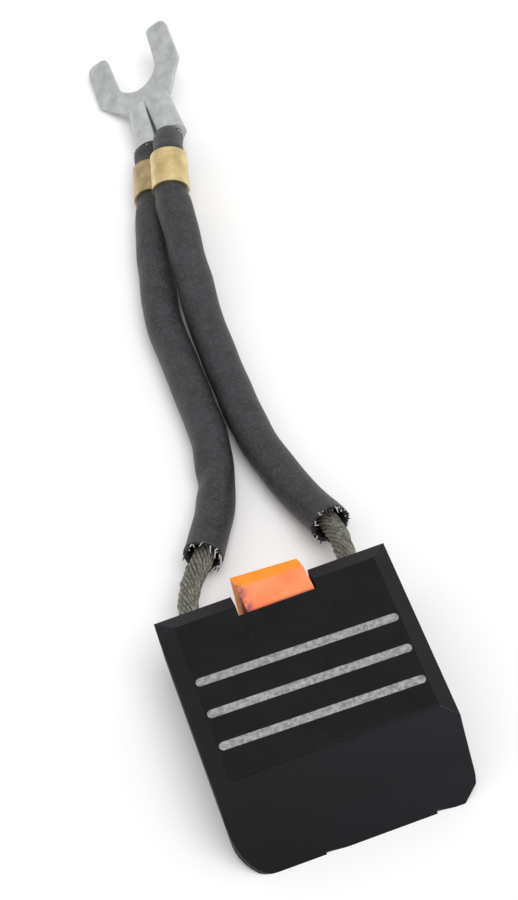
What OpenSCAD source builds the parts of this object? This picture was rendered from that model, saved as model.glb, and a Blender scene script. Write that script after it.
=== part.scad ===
// Large industrial carbon brush with two insulated flexible leads and one fork terminal.
// Millimetres. The brush lies on its back: +Z is up, +Y runs from the block towards the terminal,
// and the origin is under the middle of the block and its pad, on the surface that they lie on.

/* [Carbon block] */
// width of the block, along the commutator's axis
block_w = 57.15; // [50:0.05:64]
// thickness of the block, front face to back face
block_t = 25.4; // [22:0.1:32]
// length of the long side, top face to heel
block_len = 59.5; // [52:0.5:70]
// slope of the contact face against the top face, in degrees
contact_bevel = 25.8; // [15:0.2:30]
// radius of the commutator that has worn the contact face hollow
commutator_r = 150; // [100:5:300]
// size of the chamfers along the four long edges
edge_chamfer = 4; // [2:0.1:5]
// radius to which the heel's left corner is worn
heel_left_r = 8; // [2:0.5:10]
// radius to which the heel's right corner is worn
heel_right_r = 4; // [2:0.5:10]
// how far the top edges' chamfers run down the front and back faces
top_chamfer_len = 5.2; // [3:0.1:7]
// how far the top edges' chamfers cut into the thickness
top_chamfer_in = 4; // [2:0.1:5]

/* [Wear lines] */
// distance from the contact face's ridge to the middle of the nearest wear line
line_last = 8.5; // [5:0.1:12]
// spacing of the three wear lines
line_pitch = 8.6; // [7:0.1:9]
// width of a wear line
line_w = 2.2; // [1.6:0.1:3]
// depth of a wear line's groove
line_depth = 0.5; // [0.4:0.05:1]
// how far the paint lies below the face
paint_below = 0.1; // [0.05:0.05:0.3]
// slant of the wear lines across the face, in degrees
line_slant = 1.3; // [0:0.1:2]

/* [Pressure pad] */
// width of the notch that holds the pad
notch_w = 19.1; // [18:0.1:22]
// depth of the notch
notch_depth = 7.9; // [6:0.1:10]
// width of the pad at its foot
pad_w = 16.3; // [14:0.1:17]
// how far the pad stands above the top face at its high corner
pad_proud = 5; // [3:0.1:7]
// drop of the pad's top face from its high corner to its low corner
pad_set = 1; // [0:0.1:2]
// share of the gap beside the pad that its foot has crept over
pad_shift = 0.6; // [0:0.05:0.9]

/* [Flexible leads] */
// diameter of the tinned copper rope
rope_d = 5; // [4:0.1:5.2]
// distance between the two lead holes in the top face
lead_pitch = 40; // [36:0.5:42]
// diameter of a drilled lead hole
lead_hole_d = 8; // [7:0.1:9]
// depth of a lead hole to the start of its drill point
lead_hole_depth = 20; // [16:0.5:24]
// how far the tamped powder lies below the top face
tamping_below = 0.8; // [0.3:0.1:1.5]
// depth of tamped powder under the rope's end
tamping_under = 3; // [1:0.5:6]
// outer diameter of the woven sleeve
sleeve_d = 10; // [8.6:0.1:10.2]
// wall of the woven sleeve
sleeve_wall = 1; // [0.7:0.1:1.4]
// outer diameter of the sleeve's pinched end beside the terminal
sleeve_tail_d = 8; // [7.2:0.1:8.4]

/* [Brass bands] */
// outer diameter of a band
band_d = 10.4; // [9.6:0.1:10.4]
// thickness of the band's strip
band_t = 0.6; // [0.4:0.1:0.8]
// length of a band along its lead
band_len = 11.2; // [9:0.1:11.6]

/* [Fork terminal] */
// width of the slot for the stud
slot_w = 14; // [12:0.1:14.5]
// overall width of the fork
fork_w = 28.2; // [27:0.1:30]
// how far each side of the slot has opened at the tips
slot_flare = 0.5; // [0:0.1:1]
// length of the fork's prongs past the middle of the slot's round end
prong_len = 10.9; // [8:0.1:14]
// metal left between the slot's round end and the crimp barrel
web_len = 7.1; // [5:0.1:10]
// thickness of the terminal's sheet
fork_t = 1.5; // [1.2:0.1:2]
// length of the barrel's two crimped tubes
barrel_len = 15; // [12:0.5:17]
// angle at which each tube splays from the barrel's middle
barrel_splay = 4.8; // [4:0.2:6]
// height of the tubes' axes above the tongue's top
barrel_set = 0.6; // [0.2:0.1:2.4]
// how far the barrel sits off the tongue's middle
barrel_shift = 1.1; // [0:0.1:1.5]
// radius of the prongs' rounded corners
prong_r = 2.4; // [1:0.1:3]

/* [Hidden] */
$fn = 64;
cut = 1;                                      // how far a cutting solid runs past a face
top_y = (block_len - pad_proud) / 2;          // height of the top face along Y
front_len = block_len - block_t * tan(contact_bevel);
lead_z = block_t / 2;                         // the leads leave the middle of the top face
rope_bury = lead_hole_depth - tamping_under;
lead_x = lead_pitch / 2;
paint_t = line_depth - paint_below;
line_run = block_w - 2 * edge_chamfer - 0.6;  // the lines stay on the flat of the face
drill_point = lead_hole_d / 2 * tan(31);      // height of a 118 degree drill point
pad_side_gap = (notch_w - pad_w) / 2;
pad_creep = pad_shift * pad_side_gap;
rope_r = rope_d / 2;
sleeve_r = sleeve_d / 2;
band_in_r = band_d / 2 - band_t;
sleeve_sides = 12;
squeeze_gap = 0.05;                           // play left under a band and round the rope
sleeve_at_band_r = band_in_r - squeeze_gap;
sleeve_at_band_in_r = rope_r / cos(180 / sleeve_sides) + squeeze_gap;
band_lift = max(0, band_d / 2 - sleeve_r);    // a band keeps its sleeve clear of the surface

// the fork terminal's own frame: its origin is on the top of the tongue, level with the shoulders
fork_at = [20.64, top_y + 186.61, 8];
fork_roll = -26.6;
fork_pitch = 5;
fork_yaw = -2.4;
slot_end_v = 2.1;                             // middle of the slot's round end
shoulder_v = -2.2;                            // where the prongs' outer corners are
neck_v = slot_end_v - slot_w / 2 - web_len;   // where the barrel begins
barrel_r = rope_r + fork_t;
barrel_near = rope_r + 0.15;                  // the tubes' bores just clear each other at the front
barrel_front = 2.4;                           // length of the slope from the tongue up to the tubes
rope_stop = 1.2;                              // the ropes stop this far behind the neck
crimp_fit = 0.02;                             // between a rope's outermost strands and its tube
neck_w = 2 * (barrel_near + barrel_r);
seam_w = 1.5;                                 // opening between the tubes at the mouth

// a point of the terminal's frame in the model's frame
function on_fork(u, v, w) =
    let (x1 = u * cos(fork_roll) + w * sin(fork_roll))
    let (z1 = w * cos(fork_roll) - u * sin(fork_roll))
    let (y2 = v * cos(fork_pitch) - z1 * sin(fork_pitch))
    let (z2 = v * sin(fork_pitch) + z1 * cos(fork_pitch))
    fork_at + [x1 * cos(fork_yaw) - y2 * sin(fork_yaw), x1 * sin(fork_yaw) + y2 * cos(fork_yaw), z2];

// the leads' routes: X, the distance from the top face along Y, and how far a sleeve there is
// lifted off the surface; the bands sit between points 12 and 13
left_free = [
    [0.4 - lead_x, 6, 7.6],
    [3.5 - lead_x, 14, 5.5],
    [-11.3, 22, 2.7],
    [-8, 28.5, 1],
    [-4, 36.5, 0.1],
    [-1, 45, 0],
    [1, 57, 0],
    [1.4, 71, 0],
    [1.3, 85, 0],
    [1.6, 99, 0],
    [4.3, 114, 0],
    [7.7, 128, band_lift / 2],
    [11.25, 140.2, band_lift],
    [14.35, 152.2, band_lift],
    [15.3, 157.6, 0.1]
];
right_free = [
    [lead_x + 0.4, 6, 7.5],
    [lead_x + 0.9, 12.5, 5.5],
    [20.6, 18.5, 3.1],
    [18.6, 26, 1.1],
    [15.6, 36, 0.1],
    [13.2, 47, 0],
    [11.8, 59, 0],
    [11.7, 71, 0],
    [11.6, 83, 0.2],
    [11.9, 94, 1.3],
    [13.1, 108, 3.9],
    [14.7, 122, 6.6],
    [16, 134.2, 7.9 + 2 * band_lift],
    [19.2, 146, 9.4 + 2 * band_lift],
    [21.3, 154.3, 7.2]
];
band_from = 12;
sleeve_rings = [2, 3, 5, 6, 8, 9, 11, 12, 13, 14];

function place(points) = [for (p = points) [p[0], top_y + p[1], sleeve_r + p[2]]];
function in_block(side) = [for (y = [-rope_bury, 0]) [side * lead_x, top_y + y, lead_z]];
function in_barrel(side) = [for (back = [barrel_len + 1.2, barrel_len, rope_stop])
    on_fork(
        barrel_shift + side * (barrel_near + back * sin(barrel_splay)),
        neck_v - back * cos(barrel_splay), barrel_set
    )];
left_route = place(left_free);
right_route = place(right_free);
left_rope = concat(in_block(-1), left_route, in_barrel(-1));
right_rope = concat(in_block(1), right_route, in_barrel(1));

// ---- sweeping a ring along a route ----

function unit(v) = v / norm(v);
function along(route, i) = unit(route[min(i + 1, len(route) - 1)] - route[max(i - 1, 0)]);
function ring(centre, dir, r, sides) =
    let (across = unit(cross(dir, [0, 0, 1])))
    let (up = cross(across, dir))
    [for (k = [0 : sides - 1]) centre + r * (cos(k * 360 / sides) * across + sin(k * 360 / sides) * up)];
function skin(first, rings, sides, outward) =
    [for (i = [0 : rings - 2], k = [0 : sides - 1])
        let (a = first + i * sides + k)
        let (b = first + i * sides + (k + 1) % sides)
        outward ? [a, b, b + sides, a + sides] : [a + sides, b + sides, b, a]];

module swept_rod(route, r, sides) {
    rings = len(route);
    points = [for (i = [0 : rings - 1]) each ring(route[i], along(route, i), r, sides)];
    caps = [
        [for (k = [sides - 1 : -1 : 0]) k],
        [for (k = [0 : sides - 1]) (rings - 1) * sides + k]
    ];
    polyhedron(points, concat(skin(0, rings, sides, true), caps), convexity = 6);
}

module swept_tube(route, outer_r, inner_r, sides) {
    rings = len(route);
    outside = [for (i = [0 : rings - 1]) each ring(route[i], along(route, i), outer_r[i], sides)];
    inside = [for (i = [0 : rings - 1]) each ring(route[i], along(route, i), inner_r[i], sides)];
    in0 = rings * sides;
    last = (rings - 1) * sides;
    start_rim = [for (k = [0 : sides - 1]) [k, in0 + k, in0 + (k + 1) % sides, (k + 1) % sides]];
    end_rim = [for (k = [0 : sides - 1])
        [last + k, last + (k + 1) % sides, in0 + last + (k + 1) % sides, in0 + last + k]];
    faces = concat(skin(0, rings, sides, true), skin(in0, rings, sides, false), start_rim, end_rim);
    polyhedron(concat(outside, inside), faces, convexity = 8);
}

// ---- the block ----

// the long edges' chamfers, as the block's cross-section swept along its length
module long_chamfers() {
    half = block_w / 2;
    c = edge_chamfer;
    translate([0, cut, 0])
        rotate([90, 0, 0])
            linear_extrude(block_len + 2 * cut)
                polygon([
                    [-half + c, 0], [half - c, 0], [half, c], [half, block_t - c],
                    [half - c, block_t], [-half + c, block_t], [-half, block_t - c], [-half, c]
                ]);
}

// the side profile, with the chamfered top edges and the bevelled contact end
module side_profile() {
    rotate([90, 0, 90])
        linear_extrude(block_w, center = true)
            polygon([
                [-block_len, 0], [-top_chamfer_len, 0], [0, top_chamfer_in],
                [0, block_t - top_chamfer_in], [-top_chamfer_len, block_t], [-front_len, block_t]
            ]);
}

// the commutator, which leaves the contact face hollow across the thickness
module commutator() {
    chord = block_t / cos(contact_bevel);
    reach = sqrt(pow(commutator_r, 2) - pow(chord / 2, 2));
    middle = [0, -(block_len + front_len) / 2, block_t / 2];
    translate(middle + reach * [0, -cos(contact_bevel), sin(contact_bevel)])
        rotate([0, 90, 0])
            cylinder(h = block_w + 2 * cut, r = commutator_r, center = true, $fn = 360);
}

module line_shape(width, run, height) {
    linear_extrude(height) {
        square([run - width, width], center = true);
        for (side = [-1, 1])
            translate([side * (run - width) / 2, 0])
                circle(d = width);
    }
}

module at_line(i) {
    from_ridge = line_last + (2 - i) * line_pitch;
    translate([0, from_ridge - front_len, block_t - line_depth])
        rotate([0, 0, -line_slant])
            children();
}

module lead_hole(side) {
    translate([side * lead_x, 0, lead_z])
        rotate([90, 0, 0]) {
            translate([0, 0, -cut])
                cylinder(h = lead_hole_depth + cut, d = lead_hole_d);
            translate([0, 0, lead_hole_depth])
                cylinder(h = drill_point, d1 = lead_hole_d, d2 = 0);
        }
}

// a shallow break in the heel's edge, deepest at its left end, from x to x + run
module chip(x, run, depth) {
    translate([x, -block_len, -cut])
        linear_extrude(3 * depth + cut)
            polygon([[0, -cut], [0, depth], [run / 3, 0.7 * depth], [run, 0], [run, -cut]]);
}

// what the worn heel corners leave of the block, seen from above
module heel_outline() {
    half = block_w / 2;
    polygon([
        [-half, cut], [half, cut],
        each arc([half - heel_right_r, heel_right_r - block_len], heel_right_r, 0),
        each arc([heel_left_r - half, heel_left_r - block_len], heel_left_r, -90)
    ]);
}

// a quarter turn clockwise from an angle, about a middle
function arc(middle, r, from) =
    [for (k = [0 : 8]) middle + r * [cos(from - k * 90 / 8), sin(from - k * 90 / 8)]];

module carbon_block() {
    color([0.13, 0.13, 0.145])
        translate([0, top_y, 0])
            difference() {
                intersection() {
                    long_chamfers();
                    side_profile();
                    linear_extrude(block_t)
                        heel_outline();
                }
                commutator();
                translate([-notch_w / 2, -notch_depth, -cut])
                    cube([notch_w, notch_depth + cut, block_t + 2 * cut]);
                lead_hole(-1);
                lead_hole(1);
                for (i = [0 : 2])
                    at_line(i)
                        line_shape(line_w, line_run, line_depth + cut);
                chip(17.8, 4.5, 0.6);
                chip(-9, 5, 0.45);
            }
}

module wear_line(i) {
    color([0.62, 0.63, 0.62])
        translate([0, top_y, 0])
            at_line(i)
                line_shape(line_w, line_run, paint_t);
}

// ---- the pad: a leaning block that stands on the notch's floor ----

// the pad as it is seen from the front, left open at the top
module pad_front() {
    left = -notch_w / 2 + pad_side_gap;
    right = notch_w / 2 - pad_side_gap;
    lean = pad_creep / (notch_depth + pad_proud);
    over = pad_proud + 2 * cut;
    translate([0, 0, -cut])
        linear_extrude(block_t + 2 * cut)
            polygon([
                [left + pad_creep, -notch_depth], [right + pad_creep, -notch_depth],
                [right - lean * 2 * cut, over], [left - lean * 2 * cut, over]
            ]);
}

// the pad as it is seen from the side, with the same chamfers as the top face
module pad_side() {
    slope = atan(pad_set / pad_w);
    foot = -notch_depth - pad_proud - 4 * cut;
    translate([0, pad_proud - pad_set / 2, 0])
        rotate([0, 0, -slope])
            rotate([90, 0, 90])
                linear_extrude(2 * notch_w, center = true)
                    polygon([
                        [foot, 0], [-top_chamfer_len, 0], [0, top_chamfer_in],
                        [0, block_t - top_chamfer_in], [-top_chamfer_len, block_t], [foot, block_t]
                    ]);
}

module pressure_pad() {
    color([1, 0.58, 0.3])
        translate([0, top_y, 0])
            intersection() {
                pad_front();
                pad_side();
            }
}

// ---- the leads ----

module tamping(side) {
    color([0.45, 0.36, 0.28])
        translate([side * lead_x, top_y, lead_z])
            rotate([90, 0, 0])
                difference() {
                    union() {
                        translate([0, 0, tamping_below])
                            cylinder(h = lead_hole_depth - tamping_below, d = lead_hole_d);
                        translate([0, 0, lead_hole_depth])
                            cylinder(h = drill_point, d1 = lead_hole_d, d2 = 0);
                    }
                    translate([0, 0, -cut])
                        cylinder(h = rope_bury + cut, d = rope_d);
                }
}

module shunt(route) {
    color([0.52, 0.51, 0.45])
        swept_rod(route, rope_r, 10);
}

module sleeve(route) {
    last = len(route) - 1;
    tail_r = sleeve_tail_d / 2;
    outer = [for (i = sleeve_rings)
        i == last ? tail_r : i < band_from ? sleeve_r : sleeve_at_band_r];
    inner = [for (i = sleeve_rings)
        i == last ? tail_r - sleeve_wall : i < band_from ? sleeve_r - sleeve_wall : sleeve_at_band_in_r];
    color([0.23, 0.23, 0.25])
        swept_tube([for (i = sleeve_rings) route[i]], outer, inner, sleeve_sides);
}

module band(route) {
    a = route[band_from];
    b = route[band_from + 1];
    dir = unit(b - a);
    color([0.79, 0.63, 0.29])
        translate((a + b) / 2)
            rotate([0, acos(dir[2]), atan2(dir[1], dir[0])])
                difference() {
                    cylinder(h = band_len, d = band_d, center = true);
                    cylinder(h = band_len + 2 * cut, r = band_in_r, center = true);
                }
}

// ---- the terminal ----

module tongue_outline() {
    prong_w = (fork_w - slot_w) / 2;
    tip_v = slot_end_v + prong_len;
    polygon([
        [barrel_shift - neck_w / 2, neck_v], [barrel_shift + neck_w / 2, neck_v],
        [fork_w / 2, shoulder_v], [-fork_w / 2, shoulder_v]
    ]);
    translate([-fork_w / 2, shoulder_v])
        square([fork_w, slot_end_v - shoulder_v]);
    for (side = [-1, 1])
        translate([side * (slot_w + prong_w) / 2, 0]) {
            translate([-prong_w / 2, slot_end_v])
                square([prong_w, prong_len - prong_r]);
            translate([-prong_w / 2 + prong_r, slot_end_v])
                square([prong_w - 2 * prong_r, prong_len]);
            for (edge = [-1, 1])
                translate([edge * (prong_w / 2 - prong_r), tip_v - prong_r])
                    circle(r = prong_r);
        }
}

// the slot opens a little towards the tips
module slot_outline() {
    over = prong_len + cut;
    half = slot_w / 2;
    translate([0, slot_end_v]) {
        circle(r = half);
        polygon([
            [-half, 0], [half, 0], [half + slot_flare, over], [-half - slot_flare, over]
        ]);
    }
}

// something along one tube's axis, from its front end backwards
module on_tube(side) {
    translate([barrel_shift + side * barrel_near, neck_v, barrel_set])
        rotate([90, 0, side * barrel_splay])
            children();
}

// the barrel seen from the side: it slopes up and down from the tongue
module barrel_side() {
    back = neck_v - 2 * barrel_len;
    high = 3 * barrel_r;
    front = neck_v + barrel_front;
    rotate([90, 0, 90])
        linear_extrude(2 * fork_w, center = true)
            polygon([
                [back, -high], [front - high, -high], [front, -fork_t], [front, 0],
                [front - 0.8 * high, high], [back, high]
            ]);
}

// the two rolled tubes, joined along the middle
module barrel() {
    mouth_v = neck_v - barrel_len * cos(barrel_splay);
    difference() {
        intersection() {
            union() {
                for (side = [-1, 1])
                    on_tube(side)
                        translate([0, 0, -barrel_front])
                            cylinder(h = barrel_len + barrel_front, r = barrel_r);
            }
            barrel_side();
        }
        for (side = [-1, 1])
            on_tube(side)
                translate([0, 0, rope_stop - crimp_fit])
                    cylinder(h = barrel_len, r = rope_r + crimp_fit);
        translate([barrel_shift, 0, barrel_set])
            linear_extrude(2 * barrel_r)
                polygon([
                    [-0.15, neck_v - 3], [-seam_w / 2, mouth_v - cut],
                    [seam_w / 2, mouth_v - cut], [0.15, neck_v - 3]
                ]);
    }
}

module fork_terminal() {
    color([0.66, 0.67, 0.66])
        translate(fork_at)
            rotate([0, 0, fork_yaw])
                rotate([fork_pitch, 0, 0])
                    rotate([0, fork_roll, 0]) {
                        translate([0, 0, -fork_t])
                            linear_extrude(fork_t)
                                difference() {
                                    tongue_outline();
                                    slot_outline();
                                }
                        barrel();
                    }
}

carbon_block();
wear_line(0);  // wear_line_1
wear_line(1);  // wear_line_2
wear_line(2);  // wear_line_3
pressure_pad();
tamping(-1);  // tamping_left
tamping(1);  // tamping_right
shunt(left_rope);  // shunt_left
shunt(right_rope);  // shunt_right
sleeve(left_route);  // sleeve_left
sleeve(right_route);  // sleeve_right
band(left_route);  // band_left
band(right_route);  // band_right
fork_terminal();
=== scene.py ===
"""Looks of a large carbon brush with two sleeved copper leads and a fork terminal, on a white surface.

Metres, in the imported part's own frame: +Z up, +Y from the block towards the terminal.
"""

import math
import random

import bpy
import numpy as np
from mathutils import Matrix, Vector


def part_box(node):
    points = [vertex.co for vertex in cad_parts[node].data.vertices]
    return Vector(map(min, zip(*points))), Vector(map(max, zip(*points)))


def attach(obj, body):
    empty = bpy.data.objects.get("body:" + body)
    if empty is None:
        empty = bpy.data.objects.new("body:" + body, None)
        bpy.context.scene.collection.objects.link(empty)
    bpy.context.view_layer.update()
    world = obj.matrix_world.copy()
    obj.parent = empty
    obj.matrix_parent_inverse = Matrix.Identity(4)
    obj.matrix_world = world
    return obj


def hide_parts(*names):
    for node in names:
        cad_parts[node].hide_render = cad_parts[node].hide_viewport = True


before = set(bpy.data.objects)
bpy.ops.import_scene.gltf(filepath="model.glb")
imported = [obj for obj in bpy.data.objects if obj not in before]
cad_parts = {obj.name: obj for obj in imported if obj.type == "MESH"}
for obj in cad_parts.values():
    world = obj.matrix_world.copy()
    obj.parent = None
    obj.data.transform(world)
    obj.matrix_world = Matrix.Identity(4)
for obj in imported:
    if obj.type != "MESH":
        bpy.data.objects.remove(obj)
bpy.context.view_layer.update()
MM = 0.001
rng = random.Random(7)
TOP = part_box("carbon_block")[1][1]          # the block's top face, along Y
SLEEVE_R = 5.0 * MM
CONTACT_BEVEL = math.radians(25.8)


# ---------------------------------------------------------------- camera

def add_camera():
    rows = (
        (0.94067798, -0.31713351, -0.12062866),
        (0.32740945, 0.75511242, 0.56798617),
        (-0.08903925, -0.57378704, 0.81415013),
    )
    data = bpy.data.cameras.new("camera")
    data.sensor_width = 36.0
    data.lens = 83.848
    data.clip_start = 0.01
    data.clip_end = 20.0
    cam = bpy.data.objects.new("camera", data)
    bpy.context.scene.collection.objects.link(cam)
    rot = Matrix(rows).transposed().to_4x4()
    cam.matrix_world = Matrix.Translation((-0.03568, TOP - 0.257172, 0.438859)) @ rot
    bpy.context.scene.camera = cam


add_camera()


# ---------------------------------------------------------------- routes of the leads

# millimetres: X, distance from the top face, and lift of a sleeve there; as in the part's source
LEFT_FREE = [
    (-19.6, 6, 7.6), (-16.5, 14, 5.5), (-11.3, 22, 2.7), (-8, 28.5, 1), (-4, 36.5, 0.1),
    (-1, 45, 0), (1, 57, 0), (1.4, 71, 0), (1.3, 85, 0), (1.6, 99, 0), (4.3, 114, 0),
    (7.7, 128, 0.1), (11.25, 140.2, 0.2), (14.35, 152.2, 0.2), (15.3, 157.6, 0.1),
]
RIGHT_FREE = [
    (20.4, 6, 7.5), (20.9, 12.5, 5.5), (20.6, 18.5, 3.1), (18.6, 26, 1.1), (15.6, 36, 0.1),
    (13.2, 47, 0), (11.8, 59, 0), (11.7, 71, 0), (11.6, 83, 0.2), (11.9, 94, 1.3),
    (13.1, 108, 3.9), (14.7, 122, 6.6), (16, 134.2, 8.3), (19.2, 146, 9.8), (21.3, 154.3, 7.2),
]
LEAD_Z = 12.7
LEAD_X = 20.0
BURY = 17.0
FORK_AT = Vector((20.64, 186.61, 8.0))
FORK_TURN = (
    Matrix.Rotation(math.radians(-2.4), 3, "Z")
    @ Matrix.Rotation(math.radians(5.0), 3, "X")
    @ Matrix.Rotation(math.radians(-26.6), 3, "Y")
)
NECK_V = 2.1 - 7.0 - 7.1                    # slot end, less the slot's radius and the web
BARREL_SHIFT = 1.1
BARREL_NEAR = 2.65
BARREL_SET = 0.6
BARREL_LEN = 15.0
ROPE_STOP = 1.2                             # the ropes stop this far behind the neck
SPLAY = math.radians(4.8)


def on_fork(u, v, w):
    """A point of the terminal's own frame, in millimetres from the top face."""
    return FORK_AT + FORK_TURN @ Vector((u, v, w))


def route(side, free):
    pts = [(side * LEAD_X, -BURY, LEAD_Z), (side * LEAD_X, 0, LEAD_Z)]
    pts += [(x, y, SLEEVE_R / MM + lift) for x, y, lift in free]
    for back in (BARREL_LEN + 1.2, BARREL_LEN, ROPE_STOP):
        u = BARREL_SHIFT + side * (BARREL_NEAR + back * math.sin(SPLAY))
        pts.append(tuple(on_fork(u, NECK_V - back * math.cos(SPLAY), BARREL_SET)))
    return np.array([(x * MM, TOP + y * MM, z * MM) for x, y, z in pts])


def smooth(pts, step):
    """A centripetal Catmull-Rom line through the points, sampled at an even step."""
    p = np.vstack([2 * pts[0] - pts[1], pts, 2 * pts[-1] - pts[-2]])
    out = []
    for i in range(1, len(p) - 2):
        a, b, c, d = p[i - 1:i + 3]
        t0 = 0.0
        t1 = t0 + np.linalg.norm(b - a) ** 0.5
        t2 = t1 + np.linalg.norm(c - b) ** 0.5
        t3 = t2 + np.linalg.norm(d - c) ** 0.5
        t = np.linspace(t1, t2, 41)[:, None]
        a1 = (t1 - t) / (t1 - t0) * a + (t - t0) / (t1 - t0) * b
        a2 = (t2 - t) / (t2 - t1) * b + (t - t1) / (t2 - t1) * c
        a3 = (t3 - t) / (t3 - t2) * c + (t - t2) / (t3 - t2) * d
        b1 = (t2 - t) / (t2 - t0) * a1 + (t - t0) / (t2 - t0) * a2
        b2 = (t3 - t) / (t3 - t1) * a2 + (t - t1) / (t3 - t1) * a3
        seg = (t2 - t) / (t2 - t1) * b1 + (t - t1) / (t2 - t1) * b2
        out.append(seg[:-1])
    out.append(pts[-1:])
    line = np.vstack(out)
    run = np.concatenate([[0], np.cumsum(np.linalg.norm(np.diff(line, axis=0), axis=1))])
    at = np.linspace(0, run[-1], max(2, int(round(run[-1] / step)) + 1))
    return np.column_stack([np.interp(at, run, line[:, k]) for k in range(3)]), at


def frames(line):
    """Along, across and up directions that turn as little as possible down the line."""
    along = np.gradient(line, axis=0)
    along /= np.linalg.norm(along, axis=1)[:, None]
    across = np.zeros_like(line)
    first = np.cross(along[0], (0, 0, 1.0))
    across[0] = first / np.linalg.norm(first)
    for i in range(1, len(line)):
        v = across[i - 1] - along[i] * np.dot(across[i - 1], along[i])
        across[i] = v / np.linalg.norm(v)
    up = np.cross(across, along)
    return along, across, up


def mesh_of(name, verts, faces, uvs=None, tint=None, smooth_shade=True):
    me = bpy.data.meshes.new(name)
    me.from_pydata([tuple(v) for v in verts], [], [tuple(int(i) for i in f) for f in faces])
    if uvs is not None:
        layer = me.uv_layers.new(name="run")
        idx = np.empty(len(me.loops), dtype=np.int32)
        me.loops.foreach_get("vertex_index", idx)
        layer.data.foreach_set("uv", np.asarray(uvs, dtype=np.float32)[idx].ravel())
    if tint is not None:
        att = me.attributes.new("tint", "FLOAT", "POINT")
        att.data.foreach_set("value", np.asarray(tint, dtype=np.float32))
    me.update()
    if smooth_shade:
        me.polygons.foreach_set("use_smooth", [True] * len(me.polygons))
    ob = bpy.data.objects.new(name, me)
    bpy.context.scene.collection.objects.link(ob)
    return ob


def grid_faces(rings, sides, first=0, flip=False):
    i = np.arange(rings - 1)[:, None] * sides
    k = np.arange(sides)[None, :]
    a = first + i + k
    b = first + i + (k + 1) % sides
    quads = np.stack([a, b, b + sides, a + sides], axis=-1).reshape(-1, 4)
    return quads[:, ::-1] if flip else quads


# ---------------------------------------------------------------- materials

def new_mat(name):
    m = bpy.data.materials.new(name)
    m.use_nodes = True
    nt = m.node_tree
    nt.nodes.clear()
    out = nt.nodes.new("ShaderNodeOutputMaterial")
    bsdf = nt.nodes.new("ShaderNodeBsdfPrincipled")
    nt.links.new(bsdf.outputs[0], out.inputs[0])
    return m, nt, bsdf


class Nodes:
    """Short names for the shader nodes used below."""

    def __init__(self, nt):
        self.nt = nt

    def link(self, a, b):
        self.nt.links.new(a, b)

    def put(self, socket, value):
        if isinstance(value, (int, float)):
            socket.default_value = value
        elif isinstance(value, (tuple, list)):
            n = len(socket.default_value)
            whole = tuple(value) + (1.0,)
            socket.default_value = whole[:n] if len(value) < n else tuple(value)[:n]
        else:
            self.link(value, socket)

    def coords(self, kind="Object"):
        return self.nt.nodes.new("ShaderNodeTexCoord").outputs[kind]

    def math(self, op, a, b=0.0, c=None, clamp=False):
        n = self.nt.nodes.new("ShaderNodeMath")
        n.operation = op
        n.use_clamp = clamp
        self.put(n.inputs[0], a)
        self.put(n.inputs[1], b)
        if c is not None:
            self.put(n.inputs[2], c)
        return n.outputs[0]

    def vmath(self, op, a, b=None, out="Vector"):
        n = self.nt.nodes.new("ShaderNodeVectorMath")
        n.operation = op
        self.put(n.inputs[0], a)
        if b is not None:
            self.put(n.inputs[1], b)
        return n.outputs[out]

    def scale(self, v, s):
        n = self.nt.nodes.new("ShaderNodeVectorMath")
        n.operation = "SCALE"
        self.put(n.inputs[0], v)
        self.put(n.inputs["Scale"], s)
        return n.outputs[0]

    def split(self, v):
        n = self.nt.nodes.new("ShaderNodeSeparateXYZ")
        self.link(v, n.inputs[0])
        return n.outputs

    def noise(self, at, size, detail=3.0, rough=0.5, out="Fac"):
        """size is the width of one blotch in metres."""
        n = self.nt.nodes.new("ShaderNodeTexNoise")
        self.link(at, n.inputs["Vector"])
        n.inputs["Scale"].default_value = 1.0 / size
        n.inputs["Detail"].default_value = detail
        n.inputs["Roughness"].default_value = rough
        return n.outputs[out]

    def ramp(self, value, lo, hi, to_lo=0.0, to_hi=1.0):
        n = self.nt.nodes.new("ShaderNodeMapRange")
        n.clamp = True
        self.put(n.inputs["Value"], value)
        n.inputs["From Min"].default_value = lo
        n.inputs["From Max"].default_value = hi
        n.inputs["To Min"].default_value = to_lo
        n.inputs["To Max"].default_value = to_hi
        return n.outputs["Result"]

    def mix(self, fac, a, b):
        n = self.nt.nodes.new("ShaderNodeMix")
        n.data_type = "RGBA"
        self.put(n.inputs[0], fac)
        self.put(n.inputs[6], a)
        self.put(n.inputs[7], b)
        return n.outputs[2]

    def bump(self, height, distance, strength=1.0, normal=None):
        n = self.nt.nodes.new("ShaderNodeBump")
        n.inputs["Strength"].default_value = strength
        n.inputs["Distance"].default_value = distance
        self.link(height, n.inputs["Height"])
        if normal is not None:
            self.link(normal, n.inputs["Normal"])
        return n.outputs[0]

    def near_line(self, at, a, b, width, soft):
        """1 near the stretch from a to b, 0 beyond width + soft."""
        a, b = Vector(a), Vector(b)
        d = b - a
        rel = self.vmath("SUBTRACT", at, tuple(a))
        along = self.vmath("DOT_PRODUCT", rel, tuple(d), out="Value")
        t = self.math("DIVIDE", along, d.dot(d), clamp=True)
        foot = self.scale(tuple(d), t)
        dist = self.vmath("LENGTH", self.vmath("SUBTRACT", rel, foot), out="Value")
        return self.ramp(dist, width, width + soft, 1.0, 0.0)


def rgb(r, g, b):
    """Display values 0-255 to scene-linear."""
    return tuple(((c / 255 + 0.055) / 1.055) ** 2.4 if c > 10 else c / 255 / 12.92 for c in (r, g, b))


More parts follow.
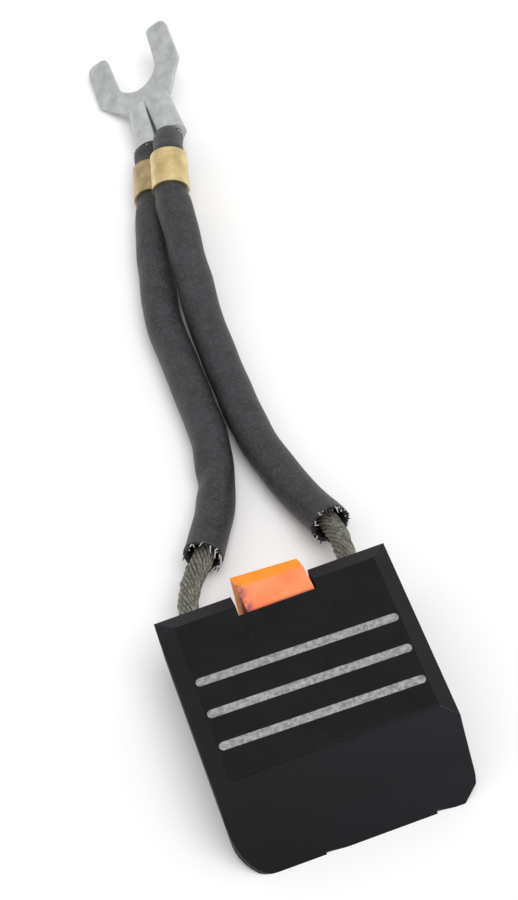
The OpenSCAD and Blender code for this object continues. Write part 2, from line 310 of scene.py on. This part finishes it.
def carbon():
    m, nt, bsdf = new_mat("carbon")
    n = Nodes(nt)
    at = n.coords()
    x, y, z = n.split(at)
    grain = n.noise(at, 0.0009, 4, 0.65)
    blotch = n.noise(at, 0.007, 3, 0.6)
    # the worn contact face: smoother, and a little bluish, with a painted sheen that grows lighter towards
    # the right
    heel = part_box("carbon_block")[0][1]
    # height over the line from heel to ridge, measured across the bevel
    lean = n.math("MULTIPLY", z, -math.tan(CONTACT_BEVEL))
    slant = n.math("ADD", n.math("SUBTRACT", y, heel), lean)
    contact = n.ramp(slant, 0.0006, 0.0011, 1.0, 0.0)
    face = n.mix(n.ramp(blotch, 0.35, 0.68), rgb(12, 12, 13), rgb(19, 19, 20))
    # painted sheen: the contact face lighter and bluer towards the right
    worn_face_painted_sheen = n.mix(n.ramp(x, -0.02, 0.03), rgb(9, 10, 12), rgb(22, 23, 28))
    col = n.mix(contact, face, worn_face_painted_sheen)
    speck = n.ramp(grain, 0.62, 0.78, 0.0, 0.5)
    speck = n.math("MULTIPLY", speck, n.math("SUBTRACT", 1.0, n.math("MULTIPLY", contact, 0.7)))
    col = n.mix(speck, col, rgb(46, 47, 48))
    # painted light: a purplish cast on the top face and chamfer, for how light falls on them
    top = n.ramp(y, TOP - 0.0056, TOP - 0.0048)
    col = n.mix(n.math("MULTIPLY", top, 0.8), col, rgb(24, 21, 29))
    n.link(col, bsdf.inputs["Base Color"])
    n.put(bsdf.inputs["Roughness"], n.ramp(contact, 0, 1, 0.62, 0.42))
    bsdf.inputs["Specular IOR Level"].default_value = 0.16
    rough = n.math("MULTIPLY", grain, n.ramp(contact, 0, 1, 1.0, 0.15))
    n.link(n.bump(rough, 0.00025, 0.5), bsdf.inputs["Normal"])
    return m


def marking():
    m, nt, bsdf = new_mat("marking")
    n = Nodes(nt)
    at = n.coords()
    col = n.mix(n.ramp(n.noise(at, 0.0012, 4, 0.7), 0.38, 0.62), rgb(118, 119, 119), rgb(166, 167, 167))
    n.link(col, bsdf.inputs["Base Color"])
    bsdf.inputs["Roughness"].default_value = 0.8
    bsdf.inputs["Specular IOR Level"].default_value = 0.2
    n.link(n.bump(n.noise(at, 0.0008), 0.0002, 0.6), bsdf.inputs["Normal"])
    return m


def pad():
    m, nt, bsdf = new_mat("pad")
    n = Nodes(nt)
    at = n.coords()
    x, y, z = n.split(at)
    col = n.mix(n.ramp(n.noise(at, 0.006, 3), 0.35, 0.65), rgb(255, 128, 78), rgb(255, 146, 98))
    # painted light: the pad's top chamfer in a more saturated orange than its face, for how it catches the
    # light
    edge = n.ramp(y, TOP - 0.0013, TOP - 0.0003)
    col = n.mix(edge, col, rgb(255, 150, 30))
    # a patchy darker purplish streak down the pad's left side
    left_side_streak = n.near_line(at, (-0.0072, TOP - 0.0076, 0.0254), (-0.0078, TOP - 0.001, 0.0254), 0.0004, 0.0022)
    left_side_streak = n.math("MULTIPLY", left_side_streak, n.ramp(n.noise(at, 0.002, 4, 0.7), 0.35, 0.6))
    col = n.mix(left_side_streak, col, rgb(120, 78, 96))
    # a darker reddish band along the pad's foot, at the notch floor
    foot = n.ramp(y, TOP - 0.0079, TOP - 0.0071, 0.75, 0.0)
    col = n.mix(foot, col, rgb(120, 44, 36))
    n.link(col, bsdf.inputs["Base Color"])
    bsdf.inputs["Roughness"].default_value = 0.6
    bsdf.inputs["Specular IOR Level"].default_value = 0.3
    n.link(n.bump(n.noise(at, 0.0009), 0.00012, 0.5), bsdf.inputs["Normal"])
    return m


def tamping():
    m, nt, bsdf = new_mat("tamping")
    n = Nodes(nt)
    at = n.coords()
    col = n.mix(n.noise(at, 0.0006, 4, 0.8), rgb(44, 38, 36), rgb(92, 78, 66))
    n.link(col, bsdf.inputs["Base Color"])
    bsdf.inputs["Roughness"].default_value = 0.8
    n.link(n.bump(n.noise(at, 0.0005), 0.0003, 0.8), bsdf.inputs["Normal"])
    return m


def rope_metal():
    m, nt, bsdf = new_mat("rope_metal")
    n = Nodes(nt)
    u, v, _ = n.split(n.coords("UV"))
    at = n.coords()
    # u counts wires round a strand, v is the run in metres: fine wires laid at a slant
    slanted = n.math("MULTIPLY", v, 2400.0)
    wires = n.math("SINE", n.math("ADD", n.math("MULTIPLY", u, 2 * math.pi * 6), slanted))
    tone = n.noise(at, 0.0011, 4, 0.7)
    col = n.mix(n.ramp(tone, 0.3, 0.7), rgb(64, 62, 54), rgb(158, 157, 146))
    # tint: painted shade on the core strand, which lies under the outer ones, and a little random darkening
    # of each outer strand
    att = nt.nodes.new("ShaderNodeAttribute")
    att.attribute_name = "tint"
    col = n.mix(att.outputs["Fac"], col, rgb(34, 32, 28))
    n.link(col, bsdf.inputs["Base Color"])
    bsdf.inputs["Metallic"].default_value = 0.45
    bsdf.inputs["Roughness"].default_value = 0.5
    n.link(n.bump(n.math("ADD", n.math("MULTIPLY", wires, 0.5), tone), 0.00012, 0.7), bsdf.inputs["Normal"])
    return m


def woven():
    m, nt, bsdf = new_mat("woven")
    n = Nodes(nt)
    u, v, _ = n.split(n.coords("UV"))
    at = n.coords()
    turn = n.math("MULTIPLY", u, 2 * math.pi * 20)
    run = n.math("MULTIPLY", v, 2 * math.pi / 0.0017)
    a = n.math("SINE", n.math("ADD", turn, run))
    b = n.math("SINE", n.math("SUBTRACT", turn, run))
    weave = n.math("MULTIPLY", a, b)
    blot = n.noise(at, 0.004, 4, 0.65)
    fine = n.noise(at, 0.0009, 3, 0.7)
    col = n.mix(n.ramp(blot, 0.3, 0.7), rgb(30, 31, 33), rgb(50, 51, 54))
    col = n.mix(n.ramp(fine, 0.45, 0.75, 0.0, 0.55), col, rgb(84, 84, 88))
    col = n.mix(n.ramp(weave, 0.2, 1.0, 0.0, 0.4), col, rgb(14, 14, 16))
    n.link(col, bsdf.inputs["Base Color"])
    bsdf.inputs["Roughness"].default_value = 0.46
    bsdf.inputs["Specular IOR Level"].default_value = 0.45
    h = n.math("ADD", n.math("MULTIPLY", weave, 0.6), fine)
    n.link(n.bump(h, 0.00016, 0.55), bsdf.inputs["Normal"])
    return m


def fibre():
    m, nt, bsdf = new_mat("fibre")
    n = Nodes(nt)
    att = nt.nodes.new("ShaderNodeAttribute")
    att.attribute_name = "tint"
    t = att.outputs["Fac"]
    col = n.mix(n.ramp(t, 0.35, 0.65), rgb(24, 24, 26), rgb(226, 226, 224))
    col = n.mix(n.ramp(n.noise(n.coords(), 0.0006), 0.3, 0.7, 0.0, 0.35), col, rgb(96, 96, 96))
    n.link(col, bsdf.inputs["Base Color"])
    bsdf.inputs["Roughness"].default_value = 0.7
    return m


def brass(name, bright, dark):
    m, nt, bsdf = new_mat(name)
    n = Nodes(nt)
    at = n.coords()
    col = n.mix(n.ramp(n.noise(at, 0.0035, 4, 0.65), 0.3, 0.7), dark, bright)
    n.link(col, bsdf.inputs["Base Color"])
    bsdf.inputs["Metallic"].default_value = 0.85
    bsdf.inputs["Roughness"].default_value = 0.36
    n.link(n.bump(n.noise(at, 0.0015), 0.00015, 0.4), bsdf.inputs["Normal"])
    return m


def tin():
    m, nt, bsdf = new_mat("tin")
    n = Nodes(nt)
    at = n.coords()
    col = n.mix(n.ramp(n.noise(at, 0.003, 4, 0.6), 0.3, 0.7), rgb(176, 180, 178), rgb(206, 209, 206))
    n.link(col, bsdf.inputs["Base Color"])
    bsdf.inputs["Metallic"].default_value = 0.7
    bsdf.inputs["Roughness"].default_value = 0.45
    n.link(n.bump(n.noise(at, 0.0018), 0.0002, 0.35), bsdf.inputs["Normal"])
    return m


def paint(node, material):
    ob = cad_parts[node]
    ob.data.materials.clear()
    ob.data.materials.append(material)


CARBON = carbon()
paint("carbon_block", CARBON)
MARK = marking()
for i in (1, 2, 3):
    paint(f"wear_line_{i}", MARK)
paint("pressure_pad", pad())
TAMP = tamping()
paint("tamping_left", TAMP)
paint("tamping_right", TAMP)
# the same brass shader on both bands, the left band in duller, darker colours than the right
paint("band_left", brass("brass_band_darker", rgb(206, 184, 138), rgb(156, 134, 96)))
paint("band_right", brass("brass_band_lighter", rgb(236, 214, 158), rgb(202, 176, 124)))
paint("fork_terminal", tin())


# ---------------------------------------------------------------- ropes

ROPE = rope_metal()
FIBRE = fibre()
WOVEN = woven()


def rope(name, side, free):
    path, run = smooth(route(side, free), 0.8 * MM)
    along, across, up = frames(path)
    total = run[-1]
    strands, sides = 13, 6
    orbit, thick = 1.92 * MM, 0.56 * MM
    pitch = 24 * MM
    verts, faces, uvs, tint = [], [], [], []
    # looser where it comes out of the sleeve, tight at both ends
    loose = 1.0 + 0.16 * np.exp(-((run - 0.0385) / 0.009) ** 2)
    for s in range(strands + 1):
        core = s == strands
        phase = 2 * math.pi * s / strands
        turn = phase + 2 * math.pi * run / pitch
        wob = 0.05 * np.sin(run / (3.1 * MM) + s * 2.3) + 0.04 * np.sin(run / (1.7 * MM) + s * 4.1)
        ring_r = np.zeros_like(run) if core else (orbit * loose * (1 + wob))
        centre = path + across * (np.cos(turn) * ring_r)[:, None] + up * (np.sin(turn) * ring_r)[:, None]
        r = 1.55 * MM if core else thick
        first = sum(len(v) for v in verts)
        ang = 2 * math.pi * np.arange(sides) / sides
        ring = (
            centre[:, None, :]
            + r * np.cos(ang)[None, :, None] * across[:, None, :]
            + r * np.sin(ang)[None, :, None] * up[:, None, :]
        )
        verts.append(ring.reshape(-1, 3))
        faces.append(grid_faces(len(run), sides, first, flip=True))
        faces.append([list(range(first, first + sides))])
        end = first + (len(run) - 1) * sides
        faces.append([list(range(end + sides - 1, end - 1, -1))])
        uvs.append(np.column_stack([np.tile(np.arange(sides) / sides, len(run)), np.repeat(run, sides)]))
        # painted shade: the core strand much darker; each outer strand a little darker at random
        core_shade_strand_tone = 0.85 if core else 0.25 * rng.random()
        tint.append(np.full(len(run) * sides, core_shade_strand_tone))
    all_faces = [f for group in faces for f in group]
    ob = mesh_of(name, np.vstack(verts), all_faces, np.vstack(uvs), np.concatenate(tint))
    ob.data.materials.append(ROPE)
    return ob, path, total


# ---------------------------------------------------------------- sleeves

def ease(a, b, t):
    t = np.clip(t, 0, 1)
    t = t * t * (3 - 2 * t)
    return a + (b - a) * t


def lumps(angle, run, seed):
    """Slow waves in a soft tube's radius, between about -1 and 1."""
    r = random.Random(seed)
    out = np.zeros(np.broadcast(angle, run).shape)
    for k in range(7):
        n = r.choice((1, 2, 2, 3))
        length = r.uniform(9, 40) * MM
        out = out + np.sin(n * angle + run / length * 2 * math.pi + r.uniform(0, 6.28)) / 3.2
    return out


def sleeve(name, side, free, start, stop, band, seed, crease=()):
    """A woven tube from run start to run stop on the lead's own line; band is the squeezed stretch."""
    path, run = smooth(route(side, free), 0.5 * MM)
    along, across, up = frames(path)
    keep = (run >= start) & (run <= stop)
    path, run, along, across, up = path[keep], run[keep], along[keep], across[keep], up[keep]
    sides = 48
    ang = 2 * math.pi * np.arange(sides) / sides
    a0, b0 = band
    # the radius along the run: open mouth, full tube, squeezed under the band, pinched tail
    radius = np.full(len(run), 4.95 * MM)
    radius = np.minimum(radius, ease(4.55 * MM, 4.95 * MM, (a0 - run) / (5 * MM)))
    tail = ease(4.55 * MM, 4.15 * MM, (run - b0) / (3 * MM))
    radius = np.where(run > a0, np.where(run < b0, 4.55 * MM, tail), radius)
    mouth = np.exp(-(run - start) / (2.5 * MM))
    radius = radius + 0.12 * MM * mouth
    soft = np.where((run > a0 - 2 * MM), 0.25, 1.0)
    shape = lumps(ang[None, :], run[:, None], seed) * 0.13 * MM * soft[:, None]
    for at, where, wide, deep in crease:
        d = np.minimum(np.abs(ang[None, :] - where), 2 * math.pi - np.abs(ang[None, :] - where))
        shape = shape - deep * np.exp(-((run[:, None] - at) / wide) ** 2 - (d / 0.7) ** 2)
    r_out = radius[:, None] + shape
    r_in = np.maximum(r_out - 0.95 * MM, 2.6 * MM)
    cosa, sina = np.cos(ang)[None, :, None], np.sin(ang)[None, :, None]
    out = path[:, None, :] + r_out[:, :, None] * (cosa * across[:, None, :] + sina * up[:, None, :])
    inn = path[:, None, :] + r_in[:, :, None] * (cosa * across[:, None, :] + sina * up[:, None, :])
    # ragged cut at both ends
    r = random.Random(seed + 50)
    for end, way in ((0, -1), (-1, 1)):
        jag = np.array([r.uniform(-0.1, 0.55) for _ in range(sides)]) * MM
        out[end] = out[end] + way * jag[:, None] * along[end]
        inn[end] = inn[end] + way * jag[:, None] * along[end]
    out[:, :, 2] = np.maximum(out[:, :, 2], 0.00004)
    rings = len(run)
    verts = np.vstack([out.reshape(-1, 3), inn.reshape(-1, 3)])
    n0 = rings * sides
    faces = [grid_faces(rings, sides, 0, flip=True), grid_faces(rings, sides, n0)]
    k = np.arange(sides)
    k1 = (k + 1) % sides
    faces.append(np.stack([k, k1, n0 + k1, n0 + k], axis=-1))
    e = (rings - 1) * sides
    faces.append(np.stack([e + k1, e + k, n0 + e + k, n0 + e + k1], axis=-1))
    u = np.tile(np.arange(sides) / sides, rings)
    u = np.minimum(u, 1 - u) * 2
    uv = np.column_stack([u, np.repeat(run, sides)])
    ob = mesh_of(name, verts, np.vstack(faces), np.vstack([uv, uv]))
    ob.data.materials.append(WOVEN)
    ends = []
    for end, way in ((0, -1), (-1, 1)):
        ends.append((path[end], way * along[end], across[end], up[end], float(radius[end])))
    return ob, ends


def fray(name, end, seed, count=30, longest=1.7, white=0.5):
    """Short yarn ends that stand out of a sleeve's cut edge."""
    centre, out, across, up, radius = end
    r = random.Random(seed)
    verts, faces, tint = [], [], []
    for layer in range(2):
        for k in range(count):
            a = 2 * math.pi * (k + r.uniform(-0.3, 0.3)) / count
            rad = across * math.cos(a) + up * math.sin(a)
            round_ = -across * math.sin(a) + up * math.cos(a)
            base = centre + rad * (radius - r.uniform(0.15, 0.85) * MM) - out * 0.4 * MM
            lean = rad * r.uniform(-0.45, 0.5) + round_ * r.uniform(-0.6, 0.6)
            length = r.uniform(0.5, longest) * MM
            thick = r.uniform(0.14, 0.34) * MM
            t = 1.0 if r.random() < white else 0.0
            first = len(verts)
            steps, sides = 4, 5
            for i in range(steps):
                f = i / (steps - 1)
                c = base + (out + lean * f) * length * (0.35 + f)
                w = thick * (1 - 0.55 * f)
                for j in range(sides):
                    b = 2 * math.pi * j / sides
                    verts.append(c + w * (math.cos(b) * rad + math.sin(b) * round_))
                    tint.append(t)
            for i in range(steps - 1):
                for j in range(sides):
                    p = first + i * sides + j
                    q = first + i * sides + (j + 1) % sides
                    faces.append((p, q, q + sides, p + sides))
            faces.append(tuple(first + (steps - 1) * sides + j for j in range(sides)))
    verts = np.array(verts)
    verts[:, 2] = np.maximum(verts[:, 2], 0.00005)
    ob = mesh_of(name, verts, faces, tint=tint, smooth_shade=True)
    ob.data.materials.append(FIBRE)
    return ob


def run_at(side, free, point):
    """How far along the lead's line the nearest place to route point number `point` is."""
    pts = route(side, free)
    path, run = smooth(pts, 0.5 * MM)
    return float(run[np.argmin(np.linalg.norm(path - pts[point + 2], axis=1))])


def lead(word, side, free, seed, crease):
    ob, path, total = rope(f"rope_{word}", side, free)
    start = run_at(side, free, 2)
    stop = run_at(side, free, 14)
    band = (run_at(side, free, 12), run_at(side, free, 13))
    tube, ends = sleeve(f"sleeve_skin_{word}", side, free, start, stop, band, seed, crease=crease)
    top = fray(f"fray_mouth_{word}", ends[0], seed + 1)
    tail = fray(f"fray_tail_{word}", ends[1], seed + 2, count=24, longest=1.3)
    for piece in (ob, tube, top, tail):
        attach(piece, "root")
    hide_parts(f"shunt_{word}")
    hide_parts(f"sleeve_{word}")
    print("lead", word, "length", round(total, 5))
    return ob, path, total, [tube, top, tail]


left, left_path, left_len, on_left = lead("left", -1, LEFT_FREE, 11, crease=[(0.0655, 2.6, 0.003, 0.0007)])
right, right_path, right_len, on_right = lead("right", 1, RIGHT_FREE, 23, crease=[])


# ---------------------------------------------------------------- surface and light

def add_floor():
    size = 3.0
    floor = mesh_of("floor", [(-size, -size, 0), (size, -size, 0), (size, size, 0), (-size, size, 0)],
                    [(0, 1, 2, 3)], smooth_shade=False)
    m, nt, bsdf = new_mat("white_table")
    bsdf.inputs["Base Color"].default_value = (0.92, 0.92, 0.92, 1)
    bsdf.inputs["Roughness"].default_value = 0.9
    bsdf.inputs["Specular IOR Level"].default_value = 0.1
    floor.data.materials.append(m)


def add_light():
    world = bpy.data.worlds.new("world")
    bpy.context.scene.world = world
    world.use_nodes = True
    bg = world.node_tree.nodes["Background"]
    bg.inputs[0].default_value = (1, 1, 1, 1)
    bg.inputs[1].default_value = 0.74
    sun = bpy.data.lights.new("key", "SUN")
    sun.energy = 1.5
    sun.angle = math.radians(40)
    ob = bpy.data.objects.new("key", sun)
    bpy.context.scene.collection.objects.link(ob)
    to_light = Vector((0.19, -0.29, 0.94))
    ob.rotation_euler = to_light.to_track_quat("Z", "Y").to_euler()


add_floor()
add_light()
bpy.context.scene.view_settings.view_transform = "Standard"
